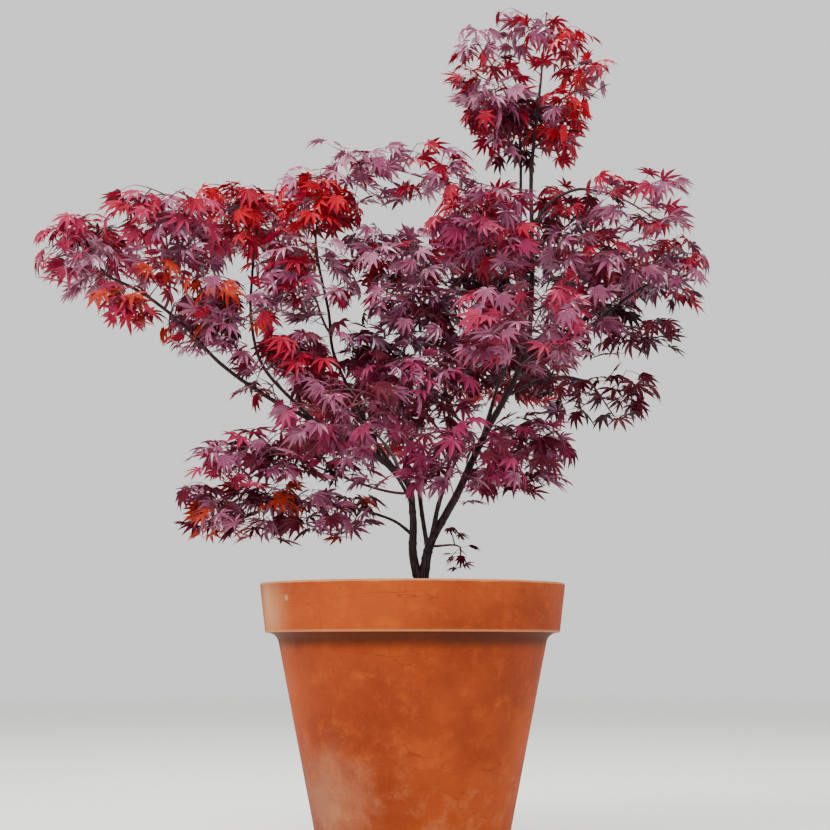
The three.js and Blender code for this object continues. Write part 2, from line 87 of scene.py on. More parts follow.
class Wire:  # a node's output, which sums can be written with
    def __init__(self, board, socket):
        self.board = board
        self.socket = socket

    def combine(self, operation, first, second):
        kind = "ShaderNodeVectorMath" if isVector(first) or isVector(second) else "ShaderNodeMath"
        return self.board.add(kind, {"operation": operation}, {0: first, 1: second})

    def __add__(self, other):
        return self.combine("ADD", self, other)

    def __radd__(self, other):
        return self.combine("ADD", other, self)

    def __sub__(self, other):
        return self.combine("SUBTRACT", self, other)

    def __rsub__(self, other):
        return self.combine("SUBTRACT", other, self)

    def __mul__(self, other):
        return self.combine("MULTIPLY", self, other)


class Board:  # a node tree that nodes are laid out on
    def __init__(self, tree):
        self.tree = tree

    def find(self, sockets, key):
        shown = [socket for socket in sockets if socket.enabled]
        return shown[key] if isinstance(key, int) else next(s for s in shown if s.name == key)

    def feed(self, socket, value):
        if isinstance(value, Wire):
            self.tree.links.new(value.socket, socket)
        elif socket.type in {"VECTOR", "RGBA"} and isinstance(value, (int, float)):
            socket.default_value = [value] * len(socket.default_value)
        elif socket.type == "RGBA" and len(value) == 3:
            socket.default_value = (*value, 1)
        else:
            socket.default_value = value

    # any node: its kind, the settings that come first, then values or wires by socket
    def add(self, kind, settings=(), values=(), out=0):
        node = self.tree.nodes.new(kind)
        for name, value in dict(settings).items():
            setattr(node, name, value)
        for key, value in dict(values).items():
            self.feed(self.find(node.inputs, key), value)
        return Wire(self, self.find(node.outputs, out))

    def noise(self, place, scale, detail=4, roughness=0.55):
        values = {"Vector": place, "Scale": scale, "Detail": detail, "Roughness": roughness}
        return self.add("ShaderNodeTexNoise", (), values)

    # 0 to 1 while the value goes from low to high
    def ramp(self, value, low, high):
        values = {"Value": value, "From Min": low, "From Max": high}
        return self.add("ShaderNodeMapRange", {"interpolation_type": "SMOOTHSTEP"}, values)

    def mix(self, amount, first, second):
        values = {"Factor": amount, "A": first, "B": second}
        return self.add("ShaderNodeMix", {"data_type": "RGBA"}, values)

    def bump(self, height, distance, strength):
        return self.add("ShaderNodeBump", (), {"Height": height, "Distance": distance, "Strength": strength})


class Finish(Board):  # a material's nodes, with its shader
    def __init__(self, name, **fixed):
        self.material = bpy.data.materials.new(name)
        self.material.use_nodes = True
        super().__init__(self.material.node_tree)
        self.shader = self.tree.nodes["Principled BSDF"]
        for key, value in fixed.items():
            self.set(key, value)

    def set(self, key, value):
        words = {"color": "Base Color", "roughness": "Roughness", "normal": "Normal", "alpha": "Alpha",
                 "specular": "Specular IOR Level"}
        self.feed(self.shader.inputs[words[key]], value)

    def place(self):
        return self.add("ShaderNodeTexCoord", out="Object")


def linkPiece(name, mesh, *materials):
    piece = bpy.data.objects.new(name, mesh)
    bpy.context.scene.collection.objects.link(piece)
    for material in materials:
        mesh.materials.append(material)
    return piece


# the piece's modifier is worked out into a plain mesh and removed
def settle(piece, modifier):
    ready = piece.evaluated_get(bpy.context.evaluated_depsgraph_get())
    mesh = bpy.data.meshes.new_from_object(ready)
    piece.modifiers.remove(modifier)
    piece.data = mesh
    return mesh


# a piece made by a tree of Geometry Nodes
def growPiece(name, mesh, tree, inputs):
    piece = linkPiece(name, mesh)
    modifier = piece.modifiers.new("growth", "NODES")
    modifier.node_group = tree
    for item in tree.interface.items_tree:
        if item.name in inputs:
            modifier[item.identifier] = inputs[item.name]
    settle(piece, modifier).name = name
    return piece


def newTree(name, inputs):
    tree = bpy.data.node_groups.new(name, "GeometryNodeTree")
    tree.interface.new_socket("Geometry", in_out="INPUT", socket_type="NodeSocketGeometry")
    for label, kind in inputs.items():
        tree.interface.new_socket(label, in_out="INPUT", socket_type=f"NodeSocket{kind}")
    tree.interface.new_socket("Geometry", in_out="OUTPUT", socket_type="NodeSocketGeometry")
    board = Board(tree)
    source = tree.nodes.new("NodeGroupInput")
    wires = {socket.name: Wire(board, socket) for socket in source.outputs if socket.name}
    return board, wires


# the tree ends in real shapes with a material, or with one for each group of them
def endTree(board, shape, *finishes):
    whole = board.add("GeometryNodeRealizeInstances", (), {0: shape})
    for finish, chosen in finishes:
        values = {"Geometry": whole, "Selection": chosen, "Material": finish}
        whole = board.add("GeometryNodeSetMaterial", (), values)
    board.feed(board.tree.nodes.new("NodeGroupOutput").inputs[0], whole)
    return board.tree


# a body turned about the upright axis from a profile that starts and ends on it
def turnedMesh(name, profile, sides):
    work = bmesh.new()
    rings = []
    for radius, height in profile:
        if radius < 1e-6:
            rings.append([work.verts.new((0, 0, height))])
            continue
        turns = [2 * math.pi * k / sides for k in range(sides)]
        rings.append([work.verts.new((radius * math.cos(a), radius * math.sin(a), height)) for a in turns])
    for low, high in zip(rings, rings[1:]):
        for k in range(sides):
            around = [low[k % len(low)], low[(k + 1) % len(low)]]
            around += [high[(k + 1) % len(high)], high[k % len(high)]]
            work.faces.new(list(dict.fromkeys(around)))
    bmesh.ops.recalc_face_normals(work, faces=work.faces)
    mesh = bpy.data.meshes.new(name)
    work.to_mesh(mesh)
    work.free()
    return mesh


# places on the arc from the first point to the last, bent towards the middle one
def arc(first, middle, last, t):
    return (1 - t) ** 2 * first + 2 * t * (1 - t) * middle + t ** 2 * last


# a corner of a profile cut by a soft arc
def softCorner(before, corner, after, radius, steps=6):
    def towards(end):
        run = Vector(end) - Vector(corner)
        return Vector(corner) + run.normalized() * min(radius, run.length / 2)

    first, last = towards(before), towards(after)
    return [tuple(arc(first, Vector(corner), last, i / steps)) for i in range(steps + 1)]


# terracotta pot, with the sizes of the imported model, in mm
clayPot = {
    "height": 390, "rimRadius": 225, "bandHeight": 72, "bandFootRadius": 216.5, "coveRadius": 17,
    "wallSlope": 0.198, "rimThickness": 20, "floorThickness": 18, "floorInnerRadius": 124,
    "lipRound": 3, "rimRound": 3.9, "floorRound": 8, "coveSteps": 12, "wallRings": (240, 180, 120, 60),
    "drainRadius": 9, "drainCircle": 70, "drainCount": 3, "drainSides": 32, "drillDepth": 80,
    "sides": 176, "sharpFrom": 50,
}


def potProfile(pot):
    slope, lip, rim, coveRadius = pot["wallSlope"], pot["lipRound"], pot["rimRound"], pot["coveRadius"]
    bandFoot = pot["height"] - pot["bandHeight"]
    lean = math.atan(slope)
    coveMiddle = (pot["bandFootRadius"] - lip, bandFoot - coveRadius)
    cove = []
    for i in range(pot["coveSteps"] + 1):
        angle = math.pi - lean - (math.pi / 2 - lean) * i / pot["coveSteps"]
        cove.append((coveMiddle[0] + coveRadius * math.cos(angle),
                     coveMiddle[1] + coveRadius * math.sin(angle)))
    foot, inner = (cove[0][0] - slope * cove[0][1], 0), pot["rimRadius"] - pot["rimThickness"]
    bandEdge, top = (pot["bandFootRadius"], bandFoot), (pot["rimRadius"], pot["height"])
    mouth, floorEdge = (inner, pot["height"]), (pot["floorInnerRadius"], pot["floorThickness"])
    wall = [(cove[0][0] - slope * down, cove[0][1] - down) for down in pot["wallRings"]]
    profile = [(0, 0), (foot[0] * 0.8, 0)]
    profile += softCorner((0, 0), foot, cove[0], lip)
    profile += wall + cove
    profile += softCorner(cove[-1], bandEdge, top, lip)
    profile += softCorner(bandEdge, top, mouth, rim)
    profile += softCorner(top, mouth, floorEdge, rim)
    profile += softCorner(mouth, floorEdge, (0, floorEdge[1]), pot["floorRound"])
    profile.append((0, pot["floorThickness"]))
    return [(radius * mm, height * mm) for radius, height in profile]


def makePot(pot, finish):
    body = linkPiece("clayPot", turnedMesh("clayPot", potProfile(pot), pot["sides"]), finish)
    work = bmesh.new()
    radius = pot["drainRadius"] * mm
    for i in range(pot["drainCount"]):
        angle = 2 * math.pi * (i + 0.5) / pot["drainCount"]
        drill = bmesh.ops.create_cone(work, cap_ends=True, segments=pot["drainSides"], radius1=radius,
                                      radius2=radius, depth=pot["drillDepth"] * mm)
        away = Vector((math.cos(angle), math.sin(angle), 0)) * pot["drainCircle"] * mm
        bmesh.ops.translate(work, verts=drill["verts"], vec=away)
    drillMesh = bpy.data.meshes.new("drills")
    work.to_mesh(drillMesh)
    work.free()
    drills = linkPiece("drills", drillMesh)
    cut = body.modifiers.new("drains", "BOOLEAN")
    cut.object = drills
    cut.solver = "EXACT"
    mesh = settle(body, cut)
    bpy.data.objects.remove(drills)
    mesh.shade_smooth()
    mesh.set_sharp_from_angle(angle=math.radians(pot["sharpFrom"]))
    return body


# colours of the clay, the darkest of them painted shade for the cove under the band, then the scales of its
# patterns; its marks in metres: where the patches and the chip are, their reach, how ragged and how strong
# they are, and the heights and radii of rim, cove and band
clayLook = {
    "fired": (0.355, 0.054, 0.006), "deep": (0.215, 0.029, 0.005), "light": (0.46, 0.086, 0.010),
    "worn": (0.58, 0.25, 0.105), "salt": (0.54, 0.29, 0.16), "damp": (0.18, 0.024, 0.004),
    "coveShade": (0.030, 0.009, 0.004), "clouds": 5.5, "mottle": 38, "grain": 620, "ragged": 24, "speckle": 240,
    "wornPatch": ((-0.212, -0.080, 0.352), 0.085, 0.5, 0.8),
    "saltPatch": ((-0.12, -0.09, 0.075), 0.12, 1.1, 0.34),
    "chip": (-0.178, -0.134, 0.366), "chipReach": 0.0062, "saltTop": 0.16, "lip": (0.3862, 0.3882),
    "edgeRadii": (0.2145, 0.2160), "edgeTop": 0.3225, "coveRadius": 0.2150,
    "coveHeights": (0.290, 0.309, 0.3195),
}


def bakedClay(look):
    board = Finish("bakedClay", specular=0.15)
    place = board.place()
    height = board.add("ShaderNodeSeparateXYZ", (), {"Vector": place}, out="Z")
    clouds = board.noise(place, look["clouds"], 5)
    mottle = board.noise(place, look["mottle"], 6, 0.62)
    grain = board.noise(place, look["grain"], 4, 0.7)
    ragged = board.noise(place, look["ragged"], 7, 0.7)

    def awayFrom(spot):
        return board.add("ShaderNodeVectorMath", {"operation": "DISTANCE"}, {0: place, 1: spot})

    def patch(spot, reach, raggedness, strength):
        return board.ramp(reach - awayFrom(spot) + (ragged - 0.5) * reach * raggedness, 0.0, reach) * strength

    streaks = board.noise(place * (46.0, 46.0, 3.2), 1.6, 5, 0.6)
    speckle = board.noise(place, look["speckle"], 3, 0.6)
    saltBand = board.ramp(look["saltTop"] - height + (ragged - 0.5) * 0.16, 0.0, 0.09)
    toAxis = board.add("ShaderNodeVectorMath", {"operation": "LENGTH"}, {0: place * (1.0, 1.0, 0.0)})
    edge = board.ramp(toAxis, *look["edgeRadii"]) * board.ramp(look["edgeTop"] - height, 0.0, 0.003)
    # painted shade: a near-black band in the cove under the band, where the lamps cast little shadow
    coveFoot, coveFull, coveTop = look["coveHeights"]
    cove = board.ramp(height + (mottle - 0.5) * 0.012, coveFoot, coveFull)
    cove = cove * board.ramp(look["coveRadius"] - toAxis, 0.0, 0.002)
    hair = board.noise(place * (6.0, 6.0, 30.0), 1.0, 2) - 0.5
    hair = board.add("ShaderNodeMath", {"operation": "ABSOLUTE"}, {0: hair})
    lip = board.ramp(height + (mottle - 0.5) * 0.003, *look["lip"])
    chip = look["chipReach"] - awayFrom(look["chip"]) + (grain - 0.5) * 0.004
    color = board.mix(board.ramp(clouds, 0.36, 0.68), look["deep"], look["fired"])
    for amount, name in (
            (board.ramp(mottle, 0.48, 0.78) * 0.5, "light"),
            (board.ramp(streaks, 0.60, 0.74) * 0.42, "damp"),
            (board.ramp(speckle, 0.60, 0.70) * 0.3, "light"),
            (patch(*look["wornPatch"]), "worn"),
            (patch(*look["saltPatch"]), "salt"),
            (saltBand * board.ramp(mottle, 0.45, 0.75) * 0.16, "salt"),
            (edge * 0.5, "worn"),
            # painted shade in the cove under the band
            (cove * board.ramp(coveTop - height, 0.0, 0.001) * 0.78, "coveShade"),
            (board.ramp(0.006 - hair, 0.0, 0.005) * board.ramp(clouds, 0.42, 0.54) * 0.5, "damp"),
            (lip * 0.75, "worn"),
            (board.ramp(chip, 0.0, 0.005) * 0.6, "salt")):
        color = board.mix(amount, color, look[name])
    board.set("color", color)
    board.set("roughness", 0.72 + (mottle - 0.5) * 0.3)
    rings = board.add("ShaderNodeMath", {"operation": "SINE"}, {0: height * 1500.0 + clouds * 16.0})
    relief = rings * 0.05 * board.ramp(clouds, 0.42, 0.6) + grain * 0.55 + mottle * 0.8 + ragged * 0.5
    board.set("normal", board.bump(relief, 0.0011, 0.75))
    return board.material


pot = makePot(clayPot, bakedClay(clayLook))
print("pot made")


# soil, heaped a little towards the trunk, in mm
soilBed = {
    "flatRadius": 42, "top": 365, "middleTop": 364.4, "edgeTop": 353, "edgeRadius": 192.5, "slump": 1.4,
    "bottomRadius": 123, "bottom": 18.4,
    "sides": 120, "rings": 40, "unevenness": 1.3, "crumbs": 21000, "crumbSizes": (0.8, 2.7), "seed": 7,
}


def soilProfile(bed):
    profile = [(0, bed["bottom"]), (bed["bottomRadius"], bed["bottom"]), (bed["edgeRadius"], bed["edgeTop"])]
    for i in range(1, bed["rings"]):
        radius = bed["edgeRadius"] * (1 - i / bed["rings"])
        run = (radius - bed["flatRadius"]) / (bed["edgeRadius"] - bed["flatRadius"])
        fall = (bed["top"] - bed["edgeTop"]) * max(run, 0) ** bed["slump"]
        lumps = math.sin(radius * 0.31) * 0.5 + math.sin(radius * 0.117 + 1) * 0.5
        profile.append((radius, bed["top"] - fall - bed["unevenness"] * (0.5 + 0.5 * lumps)))
    profile.append((0, bed["middleTop"]))
    return [(radius * mm, height * mm) for radius, height in profile]


def crumbTree():
    board, wire = newTree("soilCrumbs", {"Density": "Float", "Least": "Float", "Most": "Float",
                                         "Seed": "Int", "Soil": "Material"})
    upward = board.add("ShaderNodeSeparateXYZ", (), {"Vector": board.add("GeometryNodeInputNormal")}, out="Z")
    isTop = board.add("FunctionNodeCompare", {"data_type": "FLOAT", "operation": "GREATER_THAN"},
                      {"A": upward, "B": 0.6})
    points = board.add("GeometryNodeDistributePointsOnFaces", (), {
        "Mesh": wire["Geometry"], "Selection": isTop, "Density": wire["Density"], "Seed": wire["Seed"]})
    crumb = board.add("GeometryNodeMeshIcoSphere", (), {"Radius": 1.0, "Subdivisions": 1})

    def anyFrom(least, most, seed, kind="FLOAT_VECTOR"):
        values = {"Min": least, "Max": most, "Seed": seed}
        return board.add("FunctionNodeRandomValue", {"data_type": kind}, values)

    size = anyFrom(wire["Least"], wire["Most"], wire["Seed"], "FLOAT")
    turn = board.add("FunctionNodeEulerToRotation", (), {"Euler": anyFrom((0, 0, 0), (6.2, 6.2, 6.2), 3)})
    stretch = anyFrom((0.7, 0.6, 0.45), (1.25, 1.1, 0.95), 4)
    crumbs = board.add("GeometryNodeInstanceOnPoints", (), {
        "Points": points, "Instance": crumb, "Rotation": turn, "Scale": stretch * size})
    joined = board.add("GeometryNodeJoinGeometry")
    for part in (wire["Geometry"], crumbs):
        board.tree.links.new(part.socket, joined.socket.node.inputs[0])
    return endTree(board, joined, (wire["Soil"], True))


soilLook = {"dark": (0.022, 0.014, 0.010), "brown": (0.075, 0.045, 0.028), "pale": (0.20, 0.15, 0.11)}


def pottingSoil(look):
    board = Finish("pottingSoil", specular=0.2)
    place = board.place()
    fine = board.noise(place, 190, 5, 0.7)
    color = board.mix(board.ramp(board.noise(place, 30, 4), 0.35, 0.7), look["dark"], look["brown"])
    color = board.mix(board.ramp(fine, 0.62, 0.74) * 0.6, color, look["pale"])
    board.set("color", color)
    board.set("roughness", 0.8 + fine * 0.2)
    board.set("normal", board.bump(fine + board.noise(place, 900, 3), 0.0008, 0.9))
    return board.material


def makeSoil(bed, finish):
    mesh = turnedMesh("soilBed", soilProfile(bed), bed["sides"])
    return growPiece("soilBed", mesh, crumbTree(), {
        "Density": bed["crumbs"], "Least": bed["crumbSizes"][0] * mm, "Most": bed["crumbSizes"][1] * mm,
        "Seed": bed["seed"], "Soil": finish})


soil = makeSoil(soilBed, pottingSoil(soilLook))
print("soil made with", len(soil.data.polygons), "faces")


# how the limbs are made, in mm
treeForm = {
    "ground": 365.3, "sunk": 4, "rootFlare": 8, "flareHeight": 10, "collar": 0.45, "collarReach": 7,
    "joints": 46, "firstJoint": 9, "jointSwell": 0.13, "jointReach": 2.2,
    "step": 4, "sides": 14, "relief": 0.5, "grain": 140.0, "samples": 200, "halvings": 40,
}


# a limb: its radii at foot and tip, and the places it runs through; one with a parent starts on that limb's
# middle line, at the given height or at its tip; a collar is the swelling at its foot, if not the usual one
def limbRow(radii, *through, **more):
    return {"radii": radii, "through": through, **more}


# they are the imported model's, with a lower fork, as in the photograph
limbs = {
    "trunk": limbRow((9.7, 7), (15, 0, 353.3), (15, 0, 385), (17, -1, 405), (21, -2, 430)),
    "stem_right": limbRow(
        (6.9, 2.1), (19.5, -2, 424), (24.5, -3, 443), (34, -5, 465), (65, -5, 520), (86, 0, 566),
        (112, 5, 620), (155, 15, 700), (175, 15, 765), (180, 5, 840), (180, 0, 925), (180, 0, 1010),
        (188, 0, 1090), (195, 0, 1150), collar=0.1),
    "stem_left": limbRow(
        (7.5, 4), (13, 1, 392), (6, 2, 408), (2, 3, 425), (0, 4, 443), (1, 5, 470), (0, 5, 495),
        (-8, 2, 540), (-50, -10, 575), (-115, -20, 604)),
    "stem_middle": limbRow(
        (3.8, 2.2), (37, -22, 500), (50, -40, 545), (58, -56, 595), (50, -70, 655), parent="stem_right",
        height=450),
    "stem_inner": limbRow(
        (3.6, 2.1), (14, 20, 495), (6, 38, 560), (-6, 50, 640), (-14, 46, 715), (-10, 30, 778),
        parent="stem_right", height=438),
    "leader_upper": limbRow(
        (3, 2), (165, 35, 830), (165, 42, 930), (166, 36, 1030), (163, 26, 1100), parent="stem_right",
        height=742),
    "bough_far_left": limbRow(
        (3.4, 2.1), (-155, -32, 632), (-215, -46, 663), (-282, -58, 710), (-335, -65, 765),
        (-395, -65, 812), (-450, -62, 840), parent="stem_left"),
    "bough_left_upright": limbRow(
        (3, 2), (-172, 0, 656), (-228, 30, 722), (-247, 48, 800), (-245, 50, 880), parent="stem_left"),
    "bough_centre_left": limbRow(
        (2.8, 2), (-62, 8, 612), (-92, 20, 674), (-120, 25, 740), (-127, 20, 800), (-140, 10, 860),
        (-146, 8, 895), parent="stem_left", height=560),
    "bough_inner_left": limbRow(
        (2.4, 2), (-105, -30, 655), (-132, -60, 687), (-155, -78, 715), parent="bough_centre_left",
        height=620),
    "bough_right_shoulder": limbRow(
        (2.5, 2), (208, -14, 962), (245, -28, 978), (278, -35, 974), parent="stem_right", height=925),
    "bough_right": limbRow(
        (3, 2), (205, 18, 744), (250, 20, 765), (292, 18, 797), (335, 10, 828), (355, 6, 840),
        parent="stem_right", height=722),
    "bough_right_low": limbRow(
        (2.6, 2), (190, 20, 695), (230, 20, 701), (262, 16, 694), parent="stem_right", height=672),
    "bough_lowest_left": limbRow((2.4, 2), (-26, 0, 482), (-60, -16, 494), parent="stem_left", height=462),
    "bough_front_left": limbRow(
        (2.8, 2), (-25, -70, 545), (-60, -150, 572), parent="stem_left", height=510),
    "bough_front_right": limbRow(
        (2.8, 2), (122, -65, 668), (138, -140, 702), parent="stem_right", height=615),
    "bough_back_left": limbRow((2.8, 2), (-35, 75, 595), (-58, 155, 630), parent="stem_left", height=550),
    "bough_back_right": limbRow((2.8, 2), (118, 85, 655), (135, 165, 708), parent="stem_right", height=600),
}


# a foliage mass: the limb that carries it, its middle and half sizes, and the tints it shows most, the
# commonest first; then where it leaves the limb (else at the tip), the share of its sprays that it carries
# where the sky shows through, a lower cut as a share of its half height, and how small its leaves are
def massRow(limb, middle, half, tints, **more):
    return {"limb": limb, "middle": middle, "half": half, "tints": tints.split(), **more}


# the tints follow the light as well as the leaves' own colours: burgundy and wine lead on the inner, back and
# low masses as painted shade, lilac and brightRed show on upper and left ones as painted highlight and glow,
# and orange on low left ones as a painted glow of light through the leaves
masses = {
    "crown_tip": massRow("stem_right", (200, 0, 1205), (90, 84, 65), "crimson mauve brightRed", filled=0.3),
    "crown_left": massRow("leader_upper", (117, 5, 1180), (70, 66, 58), "crimson mauve rose", filled=0.4),
    "crown_right": massRow(
        "stem_right", (277, 10, 1158), (65, 60, 54), "crimson mauve brightRed", height=1112, filled=0.28),
    "head_left": massRow(
        "leader_upper", (130, -28, 1080), (89, 79, 63), "crimson mauve lilac", height=1040, filled=0.8),
    "head_right": massRow(
        "stem_right", (216, -28, 1072), (74, 79, 60), "crimson brightRed mauve", height=1050, filled=0.72),
    "head_back": massRow(
        "leader_upper", (178, 92, 1085), (89, 74, 65), "crimson burgundy mauve", height=1062),
    "high_left": massRow(
        "leader_upper", (-12, -5, 1002), (166, 74, 48), "mauve crimson lilac", height=972, filled=0.38),
    "shoulder_outer": massRow(
        "bough_right_shoulder", (335, -42, 939), (89, 77, 54), "mauve crimson rose", filled=0.44),
    "shoulder_inner": massRow(
        "stem_right", (260, 58, 955), (77, 74, 54), "burgundy crimson plum", height=900, filled=0.45),
    "right_outer": massRow("bough_right", (359, 0, 852), (89, 86, 69), "mauve crimson plum", filled=0.4),
    "right_middle": massRow(
        "stem_right", (252, -80, 845), (82, 82, 67), "mauve burgundy crimson", height=800, filled=0.46),
    "right_back": massRow(
        "bough_right", (290, 128, 858), (86, 82, 62), "burgundy wine plum", height=800, filled=0.55),
    "right_lower": massRow(
        "bough_right", (330, 15, 770), (91, 67, 45), "burgundy wine mauve", height=786, filled=0.42),
    "right_low": massRow(
        "bough_right_low", (280, 10, 668), (98, 74, 48), "wine burgundy plum", filled=0.28),
    "centre_upper": massRow(
        "leader_upper", (118, -40, 900), (74, 74, 84), "mauve crimson lilac", height=880, filled=0.78),
    "centre_front": massRow(
        "stem_right", (105, -168, 880), (84, 84, 62), "mauve crimson magenta", height=835),
    "centre_back": massRow("leader_upper", (130, 188, 905), (94, 89, 65), "burgundy wine plum", height=855),
    "centre_right": massRow("stem_right", (140, -72, 765), (82, 74, 65), "burgundy mauve wine", height=735),
    "centre_top": massRow("stem_inner", (-22, 0, 862), (96, 82, 60), "crimson mauve lilac", filled=0.75),
    "centre_heart": massRow("stem_middle", (22, -52, 768), (94, 74, 63), "burgundy mauve plum"),
    "centre_low": massRow(
        "stem_middle", (5, -112, 655), (101, 79, 60), "mauve burgundy magenta", height=600),
    "low_right": massRow(
        "stem_right", (151, -32, 575), (91, 82, 63), "burgundy mauve magenta", height=545, filled=0.7),
    "low_front": massRow(
        "stem_middle", (66, -142, 556), (96, 79, 54), "mauve burgundy magenta", height=540),
    "low_left": massRow("stem_left", (-172, -90, 562), (154, 80, 44), "mauve burgundy rose", height=525),
    "lowest_left": massRow("bough_lowest_left", (-192, -45, 493), (154, 80, 45), "mauve burgundy orange"),
    "far_left_tip": massRow(
        "bough_far_left", (-473, -55, 876), (79, 82, 70), "rose lilac crimson", filled=0.85, top=0.74),
    "far_left_middle": massRow(
        "bough_far_left", (-365, -85, 897), (94, 91, 74), "mauve rose crimson", height=790, filled=1,
        top=0.74),
    "far_left_droop": massRow(
        "bough_far_left", (-398, -112, 801), (70, 60, 52), "crimson orange rose", height=800, filled=0.6),
    "left_canopy": massRow(
        "bough_left_upright", (-236, 35, 941), (98, 91, 69), "brightRed crimson mauve", filled=1, top=0.76),
    "left_canopy_inner": massRow(
        "bough_centre_left", (-140, -25, 951), (62, 72, 58), "brightRed crimson lilac", filled=1.05),
    "left_middle": massRow(
        "bough_far_left", (-278, -88, 771), (86, 74, 58), "mauve crimson orange", height=690, filled=1.7),
    "left_lower": massRow(
        "bough_inner_left", (-176, -78, 696), (96, 74, 56), "mauve crimson burgundy", filled=1.6),
    "left_centre": massRow(
        "bough_centre_left", (-152, -48, 835), (74, 72, 65), "mauve crimson lilac", height=770, filled=1.2),
    "left_inner": massRow(
        "stem_inner", (-62, -22, 712), (74, 74, 60), "burgundy mauve plum", height=650, filled=1),
    "front_left": massRow("bough_front_left", (-95, -225, 608), (101, 91, 54), "mauve magenta burgundy"),
    "front_right": massRow("bough_front_right", (152, -225, 730), (98, 96, 58), "mauve rose burgundy"),
    "back_left": massRow("bough_back_left", (-88, 236, 656), (108, 98, 58), "burgundy crimson plum"),
    "back_right": massRow("bough_back_right", (150, 250, 742), (106, 101, 62), "burgundy crimson plum"),
    "foot_sprig": massRow(
        "stem_right", (62, -16, 438), (46, 44, 38), "burgundy wine mauve", height=446, filled=0.5,
        leafShare=0.55),
}

# the crown's head is narrow at its foot and at its top: its reach from its axis, by height
headForm = {
    "axis": (174, 8),
    "masses": ("crown_tip", "crown_left", "crown_right", "head_left", "head_right", "head_back"),
    "outline": ((1000, 1050, 1100, 1150, 1185, 1225, 1275), (66, 90, 112, 138, 152, 112, 40)),
}


def curvePoint(through, share):
    spans = len(through) - 1
    place = min(max(share, 0.0), 1.0) * spans
    i = min(int(place), spans - 1)
    t = place - i
    first, last = through[i], through[i + 1]
    before = through[i - 1] if i > 0 else 2 * first - last
    after = through[i + 2] if i + 2 <= spans else 2 * last - first
    leave, arrive = 0.5 * (last - before), 0.5 * (after - first)
    bend = -3 * first + 3 * last - 2 * leave - arrive
    return first + leave * t + bend * t ** 2 + (2 * first - 2 * last + leave + arrive) * t ** 3


def placeOn(limb, height=None):
    share = 1.0
    if height is not None:
        low, high = 0.0, 1.0
        for _ in range(treeForm["halvings"]):
            share = (low + high) / 2
            if curvePoint(limb["line"], share)[2] < height * mm:
                low = share
            else:
                high = share
    along = curvePoint(limb["line"], min(share + 1e-3, 1)) - curvePoint(limb["line"], max(share - 1e-3, 0))
    radius = (limb["radii"][0] + (limb["radii"][1] - limb["radii"][0]) * share) * mm
    return curvePoint(limb["line"], share), along / np.linalg.norm(along), radius


def layOutLimb(name, form):
    limb = limbs[name]
    line = [np.array(place) * mm for place in limb["through"]]
    if "parent" in limb:
        line.insert(0, placeOn(limbs[limb["parent"]], limb.get("height"))[0])
    limb["line"] = line
    coarse = np.array([curvePoint(line, k / form["samples"]) for k in range(form["samples"] + 1)])
    length = np.linalg.norm(np.diff(coarse, axis=0), axis=1).sum()
    count = math.ceil(length / (form["step"] * mm))
    points = np.array([curvePoint(line, k / count) for k in range(count + 1)])
    shares = np.linspace(0, 1, count + 1)
    radii = (limb["radii"][0] + (limb["radii"][1] - limb["radii"][0]) * shares) * mm
    run = np.r_[0, np.cumsum(np.linalg.norm(np.diff(points, axis=0), axis=1))]
    if name == "trunk":
        rise = (points[:, 2] - form["ground"] * mm) / (form["flareHeight"] * mm)
        radii = radii + form["rootFlare"] * mm * np.exp(-np.maximum(rise, 0))
        kept = points[:, 2] > (form["ground"] - form["sunk"]) * mm
        points, radii, run = points[kept], radii[kept], run[kept]
    else:
        collar = limb.get("collar", form["collar"])
        radii = radii * (1 + collar * np.exp(-run / (form["collarReach"] * mm)))
    toJoint = np.abs((run + form["firstJoint"] * mm) % (form["joints"] * mm) - form["joints"] * mm / 2)
    radii = radii * (1 + form["jointSwell"] * np.exp(-(toJoint / (form["jointReach"] * mm)) ** 2))
    limb["points"], limb["ringRadii"] = points, radii


# polylines with a thickness at each point
def pathMesh(name, paths):
    points, edges, radii = [], [], []
    for line, thickness in paths:
        first = len(points)
        points.extend(tuple(float(c) for c in point) for point in line)
        radii.extend(float(radius) for radius in thickness)
        edges.extend((k, k + 1) for k in range(first, len(points) - 1))
    mesh = bpy.data.meshes.new(name)
    mesh.from_pydata(points, edges, [])
    mesh.attributes.new("thickness", "FLOAT", "POINT").data.foreach_set("value", radii)
    return mesh


# round wood along its paths, with a little relief
def woodTree():
    board, wire = newTree("woodAlongPaths", {"Sides": "Int", "Relief": "Float", "Grain": "Float",
                                             "Bark": "Material"})
    line = board.add("GeometryNodeMeshToCurve", (), {"Mesh": wire["Geometry"]})
    thickness = board.add("GeometryNodeInputNamedAttribute", {"data_type": "FLOAT"}, {"Name": "thickness"})
    ring = board.add("GeometryNodeCurvePrimitiveCircle", (), {"Resolution": wire["Sides"], "Radius": 1.0})
    wood = board.add("GeometryNodeCurveToMesh", (),
                     {"Curve": line, "Profile Curve": ring, "Scale": thickness, "Fill Caps": True})
    place = board.add("GeometryNodeInputPosition")
    bumps = board.noise(place, wire["Grain"], 3) - 0.5
    outward = board.add("GeometryNodeInputNormal")
    offset = outward * (bumps * wire["Relief"] * 2.0)
    wood = board.add("GeometryNodeSetPosition", (), {"Geometry": wood, "Offset": offset})
    wood = board.add("GeometryNodeSetShadeSmooth", (), {0: wood, "Shade Smooth": True})
    return endTree(board, wood, (wire["Bark"], True))


# bark and twig colours; their mauve is partly the bark's own streaks, partly painted highlight
barkLook = {"dark": (0.010, 0.004, 0.006), "brown": (0.032, 0.012, 0.014), "mauve": (0.10, 0.045, 0.055),
            "scar": (0.008, 0.004, 0.005)}
twigLook = {"dark": (0.055, 0.012, 0.020), "brown": (0.16, 0.030, 0.040), "mauve": (0.24, 0.07, 0.09),
            "scar": (0.02, 0.008, 0.01)}


